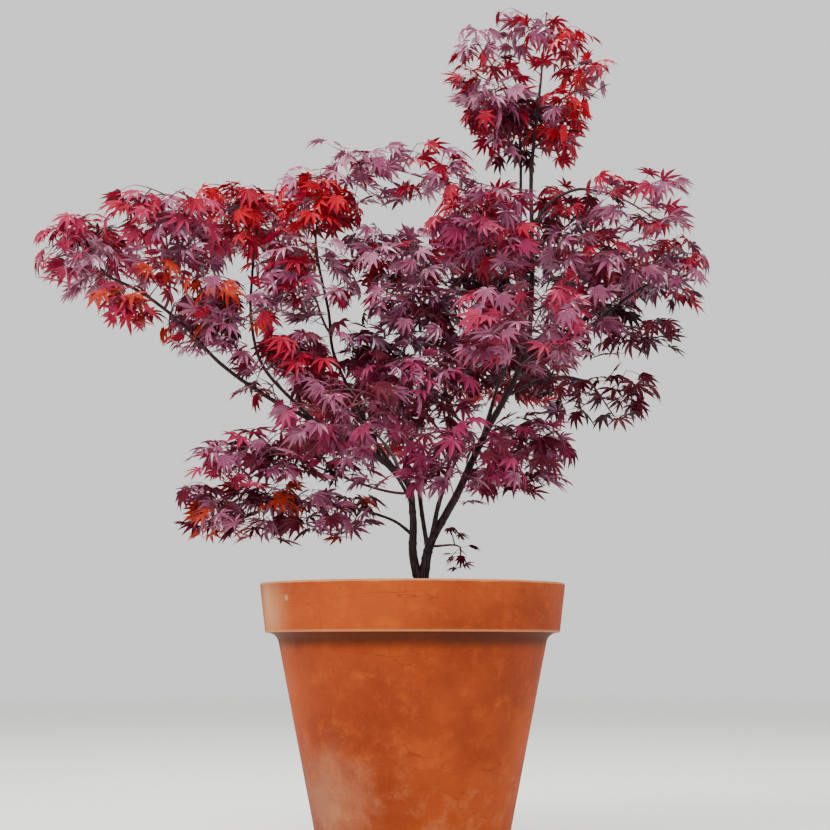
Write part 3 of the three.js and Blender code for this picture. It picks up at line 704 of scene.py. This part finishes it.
def youngBark(name, look):
    board = Finish(name, specular=0.25)
    place = board.place()
    clouds = board.noise(place, 16, 4)
    fibres = board.noise(place * (420.0, 420.0, 46.0), 1.0, 4, 0.6)
    fine = board.noise(place, 950, 3, 0.6)
    color = board.mix(board.ramp(clouds, 0.36, 0.66), look["dark"], look["brown"])
    # paler mauve along the fibres: partly the bark's own streaks, partly painted highlight
    color = board.mix(board.ramp(fibres, 0.46, 0.70) * 0.7, color, look["mauve"])
    scars = board.ramp(board.noise(place * (90.0, 90.0, 260.0), 1.0, 2), 0.66, 0.72)
    color = board.mix(scars * 0.7, color, look["scar"])
    board.set("color", color)
    board.set("roughness", 0.5 + fibres * 0.3)
    board.set("normal", board.bump(fibres + fine * 0.5, 0.0006, 0.7))
    return board.material


for limbName in limbs:
    layOutLimb(limbName, treeForm)
barkFinish, twigFinish = youngBark("youngBark", barkLook), youngBark("twigBark", twigLook)
woodNodes = woodTree()
wood = {}
for limbName, limb in limbs.items():
    path = pathMesh(limbName, [(limb["points"], limb["ringRadii"])])
    wood[limbName] = growPiece(f"wood_{limbName}", path, woodNodes, {
        "Sides": treeForm["sides"], "Relief": treeForm["relief"] * mm, "Grain": treeForm["grain"],
        "Bark": barkFinish})
print("limbs made:", len(wood))

# one leaf, in mm: lobes as degrees, then length and half width as shares of the middle lobe; a lobe's rib
# and edges as shares of its length, the edges with shares of its width; the stalk's bow
leafForm = {
    "middleLobe": 33.5, "stalk": 22, "stalkRadius": 0.5, "notch": 0.24, "heel": (48, 0.07),
    "lobes": ((0, 1, 0.108), (35, 0.92, 0.102), (72, 0.72, 0.088), (116, 0.43, 0.066)),
    "rib": (0.42, 0.72, 1.0), "edge": ((0.46, 1), (0.74, 0.6)), "bow": ((0, 0), (0.5, 0.07), (1, 0)),
}
leafHabits = [dict(zip(("droop", "sag", "twist", "fold", "spread", "rows"), row)) for row in (
    (2, 0.14, 0.30, 0.55, 1.00, 4), (16, 0.34, -0.20, 0.70, 0.98, 4), (30, 0.26, 0.35, 0.60, 0.86, 4),
    (10, 0.10, -0.35, 0.50, 1.04, 3), (46, 0.24, -0.25, 0.80, 0.72, 4), (22, 0.06, 0.20, 0.95, 0.60, 4),
)]


def leafParts(form, habit):
    length = form["middleLobe"] * mm
    half = [(degrees * habit["spread"], share, width) for degrees, share, width in form["lobes"]]
    half = half[:habit["rows"]]
    lobes = [(-degrees, share, width) for degrees, share, width in reversed(half[1:])] + half
    droop = math.radians(habit["droop"])
    forward = np.array([math.cos(droop), 0, -math.sin(droop)])
    level = np.array([math.sin(droop), 0, math.cos(droop)])
    middle = np.array([form["stalk"] * mm, 0, 0])
    corners, faces, tips = [], [], []

    def corner(degrees, reach, aside=0.0, lift=0.0):
        angle = math.radians(degrees)
        x = math.cos(angle) * reach - math.sin(angle) * aside
        y = math.sin(angle) * reach + math.cos(angle) * aside
        z = lift - (habit["sag"] * math.hypot(x, y) ** 2 + habit["twist"] * x * y) / length
        corners.append(middle + forward * x + np.array([0, y, 0]) + level * z)
        return len(corners) - 1

    heelTurn, heelReach = form["heel"]
    hub = corner(0, 0)
    rest = corner(lobes[0][0] - heelTurn, heelReach * length)
    for i, (degrees, share, width) in enumerate(lobes):
        reach, wide = share * length, width * length
        if i + 1 < len(lobes):
            following = lobes[i + 1]
            notch = form["notch"] * (share + following[1]) / 2 * length
            nextRest = corner((degrees + following[0]) / 2, notch, 0, habit["fold"] * wide * 0.5)
        else:
            nextRest = corner(degrees + heelTurn, heelReach * length)
        rib = [corner(degrees, reach * k) for k in form["rib"]]
        left, right = [[corner(degrees, reach * k, hand * wide * w, habit["fold"] * wide * w)
                        for k, w in form["edge"]] for hand in (1, -1)]
        faces += [(hub, rib[0], left[0], nextRest), (hub, rest, right[0], rib[0]),
                  (rib[0], rib[1], left[1], left[0]), (rib[0], right[0], right[1], rib[1]),
                  (rib[1], rib[2], left[1]), (rib[1], right[1], rib[2])]
        tips.append(corners[rib[2]])
        rest = nextRest
    first = len(corners)
    radius = form["stalkRadius"] * mm
    for share, rise in form["bow"]:
        for k in range(3):
            turn = 2 * math.pi * k / 3 + math.pi / 2
            corners.append(np.array([share * middle[0], radius * math.cos(turn),
                                     rise * middle[0] + radius * math.sin(turn)]))
    for ring in range(2):
        for k in range(3):
            a, b = first + 3 * ring + k, first + 3 * ring + (k + 1) % 3
            faces.append((a, b, b + 3, a + 3))
    return corners, faces, np.array(tips), middle


# how stalks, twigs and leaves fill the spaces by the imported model's rule, in mm and radians;
# twigs fork on from one another, bear leaves in pairs, and keep off the limbs seen in the photograph
foliageForm = {
    "flattening": 1.6, "power": 4, "slack": 7, "clearance": 1.2, "seed": 4111, "seedStep": 37,
    "stalkRadii": (2.4, 1.1), "stalkStep": 5, "stalkReach": 0.95, "leastReach": 10, "spaceLeaf": 54,
    "endRoom": 4, "endRise": 0.2, "crestRise": 0.45, "leave": 0.3, "bareStretch": 12, "nodeSpacing": 9,
    "attempts": 190, "spraysPerBox": 21500, "fewestSprays": 11, "usuallyFilled": 0.85,
    "twigRadii": (1.15, 0.5), "twigSides": 5, "twigStep": 9, "twigLengths": (8, 78), "forkLength": 25,
    "bend": 0.55, "arch": 0.10, "sharpestTurn": 1.45, "yaw": (-0.7, 0.7), "pitch": (-0.55, 0.50),
    "roll": (-0.85, 0.85), "pairPlaces": (0.97, 0.66, 0.36), "pairRoom": 9, "pairSpread": (0.6, 1.25),
    "pairPitch": (-0.50, 0.60), "endLeaves": 3, "endPitch": (-0.3, 1.4), "endRoll": (-0.5, 0.5),
    "leafSizes": (0.80, 1.16), "leafRoom": 10.5, "seenReach": 16,
    "seenLimbs": ("stem_right", "bough_far_left", "bough_left_upright", "bough_centre_left"),
}
# the chances of a spray's tints, and of painted shade deep inside: the darker tints that sprays deep in a
# mass get
tintAndShadeChances = {"first": 0.48, "second": 0.8, "otherPair": 0.3, "deep": 0.5, "dark": 0.6, "wine": 0.4}


def reachAlong(half, direction):
    return 1 / np.linalg.norm(direction / half)


def layOutMass(name, form):
    mass = masses[name]
    mass["isHead"] = name in headForm["masses"]
    mass["centre"], mass["halfSizes"] = np.array(mass["middle"]) * mm, np.array(mass["half"]) * mm
    normals, limits = [], []
    for other, row in masses.items():
        if other == name:
            continue
        across = (np.array(row["middle"]) - np.array(mass["middle"])) * mm
        direction = across / np.linalg.norm(across)
        own = reachAlong(mass["halfSizes"], direction)
        theirs = reachAlong(np.array(row["half"]) * mm, direction)
        normal = across * np.array([1, 1, form["flattening"] ** 2])
        normal /= np.linalg.norm(normal)
        wall = mass["centre"] + across * own / (own + theirs)
        normals.append(normal)
        limits.append(normal @ wall)
    mass["normals"], mass["limits"] = np.array(normals), np.array(limits)


def areInSpace(mass, points, form):
    slack = form["slack"] * mm
    shares = np.abs(points - mass["centre"]) / (mass["halfSizes"] + slack)
    inside = (shares ** form["power"]).sum(axis=-1) < 1
    inside &= points[..., 2] < (mass["centre"] + mass["halfSizes"] * mass.get("top", 2))[2]
    if mass["isHead"]:
        away = np.linalg.norm(points[..., :2] - np.array(headForm["axis"]) * mm, axis=-1)
        inside &= away < np.interp(points[..., 2], *(np.array(row) * mm for row in headForm["outline"]))
    return inside & (points @ mass["normals"].T < mass["limits"] + slack).all(axis=-1)


def layOutStalk(mass, form):
    start, along, radius = placeOn(limbs[mass["limb"]], mass.get("height"))
    through = mass["centre"] - start
    length = np.linalg.norm(through)
    outward = along
    if "height" in mass:
        outward = through - along * (through @ along)
        outward = outward / np.linalg.norm(outward)
    onward = through / length
    level = 1 - abs(onward[2])
    most = form["stalkReach"]
    beyond = reachAlong(mass["halfSizes"], onward) * min(mass.get("top", most), most)
    beyond = max(beyond - (form["spaceLeaf"] * level + form["endRoom"]) * mm, form["leastReach"] * mm)
    end = mass["centre"] + onward * beyond
    end = end + np.array([0, 0, form["endRise"] * level * mass["halfSizes"][2]])
    crest = mass["centre"] + np.array([0, 0, form["crestRise"] * level * mass["halfSizes"][2]])
    leave = start + outward * form["leave"] * length
    count = max(8, round(length / (form["stalkStep"] * mm)))
    t = np.linspace(0, 1, count + 1)[:, None]
    points = (1 - t) ** 3 * start + 3 * t * (1 - t) ** 2 * leave + 3 * t ** 2 * (1 - t) * crest + t ** 3 * end
    footRadius = min(form["stalkRadii"][0] * mm, radius)
    radii = footRadius + (form["stalkRadii"][1] * mm - footRadius) * t[:, 0]
    return points, radii


def turnsOf(roll, pitch, yaw):
    cr, cp, cy = np.cos(roll), np.cos(pitch), np.cos(yaw)
    sr, sp, sy = np.sin(roll), np.sin(pitch), np.sin(yaw)
    return np.stack([
        np.stack([cy * cp, cy * sp * sr - sy * cr, cy * sp * cr + sy * sr], -1),
        np.stack([sy * cp, sy * sp * sr + cy * cr, sy * sp * cr - cy * sr], -1),
        np.stack([-sp, cp * sr, cp * cr], -1)], -2)


habitParts = [leafParts(leafForm, habit) for habit in leafHabits]
mostTips = max(len(parts[2]) for parts in habitParts)
habitTips = np.array([np.vstack([parts[2], parts[2][:mostTips - len(parts[2])]]) for parts in habitParts])
bladeMiddles = np.array([parts[2].mean(axis=0) * 0.35 + parts[3] * 0.65 for parts in habitParts])
woodPoints = np.vstack([limb["points"] for limb in limbs.values()])
woodRadii = np.concatenate([limb["ringRadii"] for limb in limbs.values()])
seenPoints = np.vstack([limbs[name]["points"] for name in foliageForm["seenLimbs"]])
leafRows, leafMiddles, twigPaths = [], np.zeros((0, 3)), []


def isClearOfWood(points, clearance):
    away = np.linalg.norm(points[:, None] - woodPoints[None], axis=2)
    return (away > woodRadii + clearance).all()


# no leaf lies right before a limb that the photograph shows between the leaves
def leavesLimbSeen(middle, reach):
    across = np.linalg.norm((seenPoints - middle)[:, [0, 2]], axis=1)
    return not ((across < reach) & (seenPoints[:, 1] > middle[1])).any()


# the sprays of one mass: each goes to the emptiest place that chance finds for it
def growMass(name, number, form, odds):
    mass = masses[name]
    chance = np.random.default_rng(form["seed"] + form["seedStep"] * number)
    line, radii = layOutStalk(mass, form)
    twigPaths.append((line, radii))
    run = np.r_[0, np.cumsum(np.linalg.norm(np.diff(line, axis=0), axis=1))]
    places = np.arange(form["bareStretch"] * mm, run[-1], form["nodeSpacing"] * mm)
    nodes = [np.array([np.interp(place, run, line[:, k]) for k in range(3)]) for place in places]
    tints, share = mass["tints"], mass.get("leafShare", 1)
    leastRoom = form["leafRoom"] * mm * share
    low, high = (limit * mm for limit in form["twigLengths"])
    thick = [value * mm for value in form["twigRadii"]]
    sprays = form["fewestSprays"] + float(np.prod(mass["half"])) / form["spraysPerBox"]
    sprays = round(sprays * share ** 2 * mass.get("filled", form["usuallyFilled"]))

    def addLeaf(foot, roll, pitch, yaw, size, habit, tint):
        global leafMiddles
        turn = turnsOf(roll, pitch, yaw)
        tips = foot + size * habitTips[habit] @ turn.T
        middle = foot + size * turn @ bladeMiddles[habit]
        if not areInSpace(mass, tips, form).all() or not leavesLimbSeen(middle, form["seenReach"] * mm):
            return False
        if len(leafMiddles) and np.linalg.norm(leafMiddles - middle, axis=1).min() < leastRoom:
            return False
        blade = foot + size * turn @ habitParts[habit][3]
        if not isClearOfWood(np.vstack([tips, (tips + blade) / 2, [blade]]), form["clearance"] * mm):
            return False
        leafRows.append((foot, (roll, pitch, yaw), size, habit, tint, number))
        leafMiddles = np.vstack([leafMiddles, middle])
        return True

    def anySize():
        return chance.uniform(*form["leafSizes"]) * share, int(chance.integers(0, len(leafHabits)))

    for _ in range(sprays):
        count = form["attempts"]
        feet = mass["centre"] + chance.uniform(-1, 1, (count, 3)) * mass["halfSizes"]
        nodeRows = np.array(nodes)
        nearest = np.linalg.norm(feet[:, None] - nodeRows[None], axis=2).argmin(axis=1)
        away = feet - nodeRows[nearest]
        length = np.linalg.norm(away, axis=1)
        yaw = np.arctan2(away[:, 1], away[:, 0]) + chance.uniform(*form["yaw"], count)
        pitch, roll = chance.uniform(*form["pitch"], count), chance.uniform(*form["roll"], count)
        size = chance.uniform(*form["leafSizes"], count) * share
        habit = chance.integers(0, len(leafHabits), count)
        turn = turnsOf(roll, pitch, yaw)
        tips = feet[:, None] + size[:, None, None] * np.einsum("nij,nkj->nki", turn, habitTips[habit])
        middles = feet + size[:, None] * np.einsum("nij,nj->ni", turn, bladeMiddles[habit])
        straight = (turn[:, :, 0] * away).sum(axis=1) / length > math.cos(form["sharpestTurn"])
        usable = straight & (length > low) & (length < high) & areInSpace(mass, tips, form).all(axis=1)
        room = np.ones(count)
        if len(leafMiddles):
            room = np.linalg.norm(middles[:, None] - leafMiddles[None], axis=2).min(axis=1)
        depth = (np.abs(middles - mass["centre"]) / mass["halfSizes"]).max(axis=1)
        for pick in np.argsort(-room):
            if not usable[pick] or room[pick] < leastRoom:
                continue
            draw = chance.random()
            tint = tints[0] if draw < odds["first"] else tints[1] if draw < odds["second"] else tints[2]
            # painted shade: a spray deep inside its mass mostly gets one of the dark tints, wine and burgundy
            if depth[pick] < odds["deep"] and chance.random() < odds["dark"]:
                tint = "wine" if chance.random() < odds["wine"] else "burgundy"
            if not addLeaf(feet[pick], roll[pick], pitch[pick], yaw[pick], size[pick], habit[pick], tint):
                continue
            node, foot, reach = nodeRows[nearest[pick]], feet[pick], length[pick]
            crook = node + (foot - node) * form["bend"] + np.array([0, 0, form["arch"] * reach])
            t = np.linspace(0, 1, max(3, round(reach / (form["twigStep"] * mm))) + 1)[:, None]
            twig = arc(node, crook, foot, t)
            twigPaths.append((twig, thick[0] + (thick[1] - thick[0]) * t[:, 0]))
            if reach > form["forkLength"] * mm:
                nodes.append(twig[round(0.5 * (len(twig) - 1))])
            for place in form["pairPlaces"]:
                if place * reach < form["pairRoom"] * mm:
                    continue
                joint = arc(node, crook, foot, place)
                if chance.random() < odds["otherPair"]:
                    tint = tints[int(chance.integers(0, 3))]
                for hand in (-1, 1):
                    leafYaw = yaw[pick] + hand * chance.uniform(*form["pairSpread"])
                    leafRoll, leafPitch = chance.uniform(*form["roll"]), chance.uniform(*form["pairPitch"])
                    addLeaf(joint, leafRoll, leafPitch, leafYaw, *anySize(), tint)
            break
    # the stalk ends in leaves
    ends = 0
    for _ in range(form["attempts"]):
        if ends < form["endLeaves"]:
            leafYaw, leafPitch = chance.uniform(-math.pi, math.pi), chance.uniform(*form["endPitch"])
            leafRoll = chance.uniform(*form["endRoll"])
            leafSize, leafHabit = anySize()
            tint = tints[int(chance.integers(0, 2))]
            ends += addLeaf(line[-1], leafRoll, leafPitch, leafYaw, leafSize, leafHabit, tint)


for massName in masses:
    layOutMass(massName, foliageForm)
for massNumber, massName in enumerate(masses):
    growMass(massName, massNumber, foliageForm, tintAndShadeChances)
print("sprays grown:", len(twigPaths) - len(masses), "twigs and", len(leafRows), "leaves")

# plain leaf colours, dealt out by spray; several are partly painted light: mauve is partly a painted sheen of
# the sky, lilac a painted highlight of the sky, brightRed and orange partly a painted glow of light through
# the leaves, and burgundy and wine partly painted shade
leafTints = {
    "crimson": (0.29, 0.003, 0.022), "brightRed": (0.42, 0.003, 0.015), "orange": (0.35, 0.020, 0.006),
    "rose": (0.31, 0.015, 0.056), "mauve": (0.225, 0.042, 0.102), "magenta": (0.235, 0.016, 0.065),
    "lilac": (0.38, 0.138, 0.220), "plum": (0.090, 0.012, 0.043), "burgundy": (0.090, 0.003, 0.014),
    "wine": (0.020, 0.001, 0.006),
}


# the scales of the leaves' blotches and grain; reds are duller, so that they stay deep under the lamps
leafLook = {"blotches": 110, "grain": 900, "bump": 0.0005, "specular": 0.60, "roughness": 0.22,
            "redSpecular": 0.18, "redRoughness": 0.40}


def leafFinish(name, color, look):
    isRed = color[1] < 0.1 * color[0]
    board = Finish(f"leaf_{name}", color=color, specular=look["redSpecular" if isRed else "specular"])
    place = board.place()
    blotches, grain = board.noise(place, look["blotches"], 3), board.noise(place, look["grain"], 3, 0.6)
    board.set("roughness", blotches * 0.2 + look["redRoughness" if isRed else "roughness"])
    board.set("normal", board.bump(blotches + grain * 0.4, look["bump"], 0.5))
    return board.material


def leafTree(shapes, finishes):
    board, wire = newTree("leavesOnTwigs", {"Leaf Size": "Float"})

    def value(label, kind):
        return board.add("GeometryNodeInputNamedAttribute", {"data_type": kind}, {"Name": label})

    source = board.tree.nodes.new("GeometryNodeCollectionInfo")
    source.inputs["Collection"].default_value = shapes
    source.inputs["Separate Children"].default_value = True
    source.inputs["Reset Children"].default_value = True
    turn = board.add("FunctionNodeEulerToRotation", (), {"Euler": value("turn", "FLOAT_VECTOR")})
    size = value("size", "FLOAT") * wire["Leaf Size"]
    leaves = board.add("GeometryNodeInstanceOnPoints", (), {
        "Points": wire["Geometry"], "Instance": Wire(board, source.outputs[0]), "Pick Instance": True,
        "Instance Index": value("habit", "INT"), "Rotation": turn, "Scale": size})
    groups = [(finish, board.add("FunctionNodeCompare", {"data_type": "INT", "operation": "EQUAL"},
                                 {"A": value("tint", "INT"), "B": number}))
              for number, finish in enumerate(finishes)]
    return endTree(board, leaves, *groups)


def pointMesh(name, rows):
    mesh = bpy.data.meshes.new(name)
    mesh.from_pydata([tuple(float(c) for c in row[0]) for row in rows], [], [])
    tintNames = list(leafTints)
    for label, kind, key, values in (
            ("turn", "FLOAT_VECTOR", "vector", [float(angle) for row in rows for angle in row[1]]),
            ("size", "FLOAT", "value", [float(row[2]) for row in rows]),
            ("habit", "INT", "value", [int(row[3]) for row in rows]),
            ("tint", "INT", "value", [tintNames.index(row[4]) for row in rows])):
        mesh.attributes.new(label, kind, "POINT").data.foreach_set(key, values)
    return mesh


def makeLeaves():
    shapes = bpy.data.collections.new("leafShapes")
    for number, (corners, faces, _, _) in enumerate(habitParts):
        mesh = bpy.data.meshes.new(f"leafShape{number}")
        mesh.from_pydata([tuple(float(c) for c in corner) for corner in corners], [], faces)
        shapes.objects.link(bpy.data.objects.new(f"leafShape{number}", mesh))
    tree = leafTree(shapes, [leafFinish(name, color, leafLook) for name, color in leafTints.items()])
    pieces = {}
    for kind, slotName in enumerate(("leaf_crimson", "leaf_mauve", "leaf_burgundy")):
        rows = [row for row in leafRows if row[5] % 3 == kind]
        pieceName = slotName.replace("leaf_", "leaves_")
        pieces[slotName] = growPiece(pieceName, pointMesh(slotName, rows), tree, {"Leaf Size": 1.0})
    for shape in list(shapes.objects):
        bpy.data.objects.remove(shape)
    bpy.data.collections.remove(shapes)
    return pieces


leaves = makeLeaves()
twigs = growPiece("twigs", pathMesh("twigs", twigPaths), woodNodes, {
    "Sides": foliageForm["twigSides"], "Relief": 0.0, "Grain": treeForm["grain"], "Bark": twigFinish})
print("leaves made:", {name: len(piece.data.polygons) for name, piece in leaves.items()},
      "and", len(twigs.data.polygons), "twig faces")

# pale floor that fades out, and soft studio light
studio = {
    "floorRadius": 12, "floorSides": 96, "floorColor": (0.80, 0.79, 0.77), "fadeFrom": 3.5, "fadeTo": 11,
    "world": (0.92, 0.92, 0.91), "worldStrength": 1.12,
    "lamps": (("key", (-1.7, -2.2, 3.6), 1.6, 190), ("fill", (2.8, -2.2, 1.2), 2.6, 22),
              ("top", (0.4, 0.9, 4.0), 2.0, 160)),
    "lampAim": (0, 0, 0.75),
}


def makeStudio(look):
    mesh = bpy.data.meshes.new("floor")
    count, radius = look["floorSides"], look["floorRadius"]
    turns = [2 * math.pi * k / count for k in range(count)]
    rim = [(radius * math.cos(turn), radius * math.sin(turn), 0) for turn in turns]
    mesh.from_pydata(rim, [], [tuple(range(count))])
    board = Finish("paleFloor", color=look["floorColor"], roughness=0.75, specular=0.2)
    away = board.add("ShaderNodeVectorMath", {"operation": "LENGTH"}, {0: board.place()})
    board.set("alpha", 1.0 - board.ramp(away, look["fadeFrom"], look["fadeTo"]))
    floor = linkPiece("floor", mesh, board.material)
    world = bpy.data.worlds.new("studio")
    world.use_nodes = True
    backdrop = world.node_tree.nodes["Background"]
    backdrop.inputs["Color"].default_value = (*look["world"], 1)
    backdrop.inputs["Strength"].default_value = look["worldStrength"]
    bpy.context.scene.world = world
    for name, place, size, power in look["lamps"]:
        data = bpy.data.lights.new(name, "AREA")
        data.shape, data.size, data.energy = "DISK", size, power
        lamp = bpy.data.objects.new(name, data)
        lamp.location = place
        lamp.rotation_euler = (Vector(look["lampAim"]) - Vector(place)).to_track_quat("-Z", "Y").to_euler()
        bpy.context.scene.collection.objects.link(lamp)
    return floor


floor = makeStudio(studio)
print("studio set")

# what each piece stands for, and its slot
foliageNodes = [f"foliage_{name}" for name in masses]
parts = [(pot, ["pot"], "terracotta"), (soil, ["soil"], "potting_soil")]
parts += [(piece, [limbName], "bark") for limbName, piece in wood.items()]
parts += [(piece, foliageNodes[kind::3], slotName) for kind, (slotName, piece) in enumerate(leaves.items())]
parts.append((twigs, foliageNodes, "bark"))
for piece, nodeNames, slotName in parts:
    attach(piece, "root")
    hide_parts(*nodeNames)
